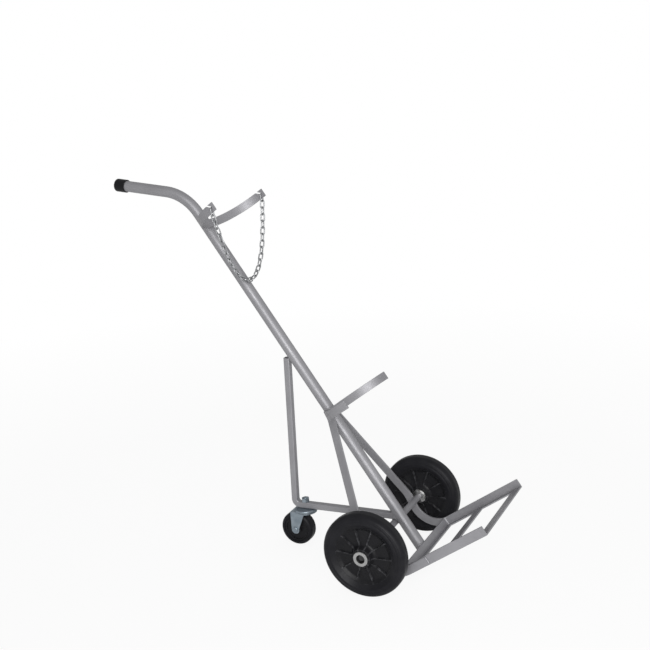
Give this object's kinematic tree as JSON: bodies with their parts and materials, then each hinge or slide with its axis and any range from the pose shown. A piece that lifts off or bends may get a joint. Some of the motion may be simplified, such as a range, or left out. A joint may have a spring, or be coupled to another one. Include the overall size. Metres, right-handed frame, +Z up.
{
  "type": "gas cylinder cart",
  "caption": "Tubular steel cart for a gas cylinder: slanted spine with handle, strip cradles, hook chain, lattice toe, rubber wheels and a swivel caster.",
  "frame": {"origin": "centre of the overall box, on the floor under the wheels", "axes": "+X towards the toe, +Y to the cart's left, +Z up"},
  "size_m": [1.2454, 0.512, 1.1386],
  "materials": {
    "grey_paint": "satin grey stove enamel",
    "black_plastic": "moulded, slightly grained",
    "rubber": "solid black rubber",
    "zinc_steel": "bright zinc plate",
    "bright_steel": "turned steel",
    "dark_steel": "black oxide spring steel"
  },
  "bodies": {
    "frame": {"spine_tube": "grey_paint", "handle_cap": "black_plastic", "upper_cradle": "grey_paint", "lower_cradle": "grey_paint", "left_leg": "grey_paint", "right_leg": "grey_paint", "rear_strut": "grey_paint", "axle": "grey_paint", "axle_washers": "grey_paint", "axle_retainers": "dark_steel", "toe_frame": "grey_paint", "toe_mid_bar": "grey_paint", "toe_front_bar": "grey_paint", "caster_kingpin": "zinc_steel", "caster_nut": "zinc_steel", "caster_race": "zinc_steel"},
    "left_wheel": {"left_tyre": "rubber", "left_rim": "black_plastic", "left_hub_sleeve": "bright_steel", "left_hub_bush": "black_plastic"},
    "right_wheel": {"right_tyre": "rubber", "right_rim": "black_plastic", "right_hub_sleeve": "bright_steel", "right_hub_bush": "black_plastic"},
    "caster_swivel": {"caster_fork": "zinc_steel", "caster_axle": "zinc_steel", "caster_balls": "bright_steel"},
    "caster_wheel": {"caster_tyre": "rubber", "caster_core": "black_plastic", "caster_bush": "bright_steel"},
    "chain": {"chain": "zinc_steel"}
  },
  "joints": [
    {"name": "left_wheel_spin", "type": "hinge", "parent": "frame", "child": "left_wheel", "pos_m": [0.28497, 0.22, 0.125], "axis": [0, 1, 0], "continuous": true},
    {"name": "right_wheel_spin", "type": "hinge", "parent": "frame", "child": "right_wheel", "pos_m": [0.28497, -0.22, 0.125], "axis": [0, 1, 0], "continuous": true},
    {"name": "caster_turn", "type": "hinge", "parent": "frame", "child": "caster_swivel", "pos_m": [-0.01463, 0, 0.12301], "axis": [-0.0401, 0, 0.9992], "continuous": true},
    {"name": "caster_roll", "type": "hinge", "parent": "caster_swivel", "child": "caster_wheel", "pos_m": [-0.04403, 0, 0.053], "axis": [0, 1, 0], "continuous": true},
    {"name": "chain_swing", "type": "hinge", "parent": "frame", "child": "chain", "pos_m": [-0.18741, 0, 1.07831], "axis": [0, -1, 0], "range_deg": [0, 60]}
  ]
}
